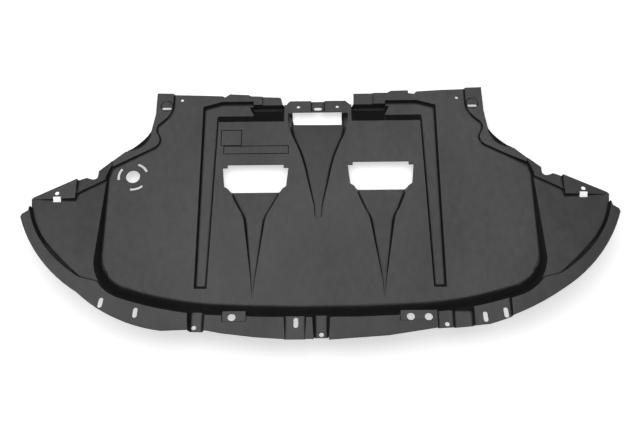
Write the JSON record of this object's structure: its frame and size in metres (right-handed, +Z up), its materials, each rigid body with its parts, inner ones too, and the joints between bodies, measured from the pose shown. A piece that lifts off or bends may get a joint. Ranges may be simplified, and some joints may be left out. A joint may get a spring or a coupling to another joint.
{
  "type": "engine splash shield",
  "caption": "Moulded plastic engine undertray with a curved front flange, two side wings, air ducts and fixing holes.",
  "frame": {"origin": "middle of the footprint, at the height of the lowest points that the sheet stands on", "axes": "+X along the front flange from wing to wing, +Y from the front flange to the rear edge, +Z up out of the tray"},
  "size_m": [1.478, 0.72, 0.0801],
  "materials": {
    "moulding": "fine matt grain"
  },
  "bodies": {
    "root": {"shield": "moulding"}
  },
  "joints": []
}
